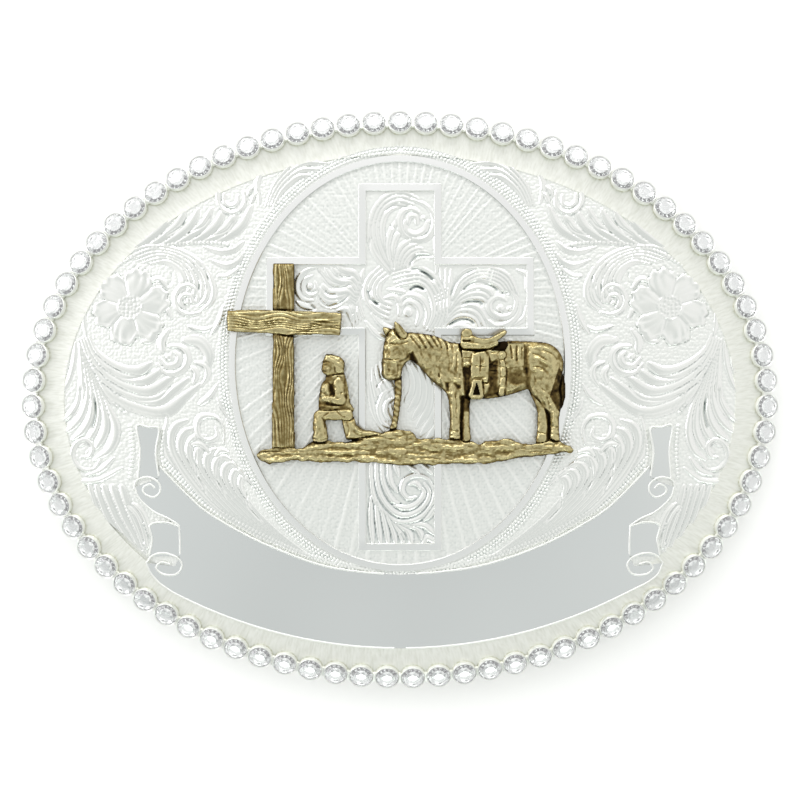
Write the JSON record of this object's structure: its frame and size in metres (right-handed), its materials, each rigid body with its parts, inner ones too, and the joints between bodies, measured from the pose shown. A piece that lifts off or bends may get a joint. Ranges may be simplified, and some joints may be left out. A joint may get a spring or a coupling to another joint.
{
  "type": "western belt buckle",
  "caption": "Domed oval trophy buckle with a crystal rim, engraved scrollwork and cross, a bare banner, a brass relief of a figure and horse, and a belt loop and hook.",
  "frame": {"origin": "centre of the buckle's outline, on the surface that its back fittings rest on", "axes": "+X to the viewer's right along the buckle's width, +Y up on the face, +Z out of the face"},
  "size_m": [0.105, 0.0798, 0.0155],
  "materials": {
    "silver_plate": "cast brass, engraved and bright silver plated, with bead-blasted grounds",
    "crystal": "clear foil-backed cut crystal",
    "antiqued_brass": "cast gold-coloured brass with dark antiqued recesses",
    "nickel_wire": "satin nickel plated wire"
  },
  "bodies": {
    "root": {"engraved_plate": "silver_plate", "rim_stones": "crystal", "figure_overlay": "antiqued_brass", "belt_loop": "nickel_wire", "belt_hook": "nickel_wire"}
  },
  "joints": []
}
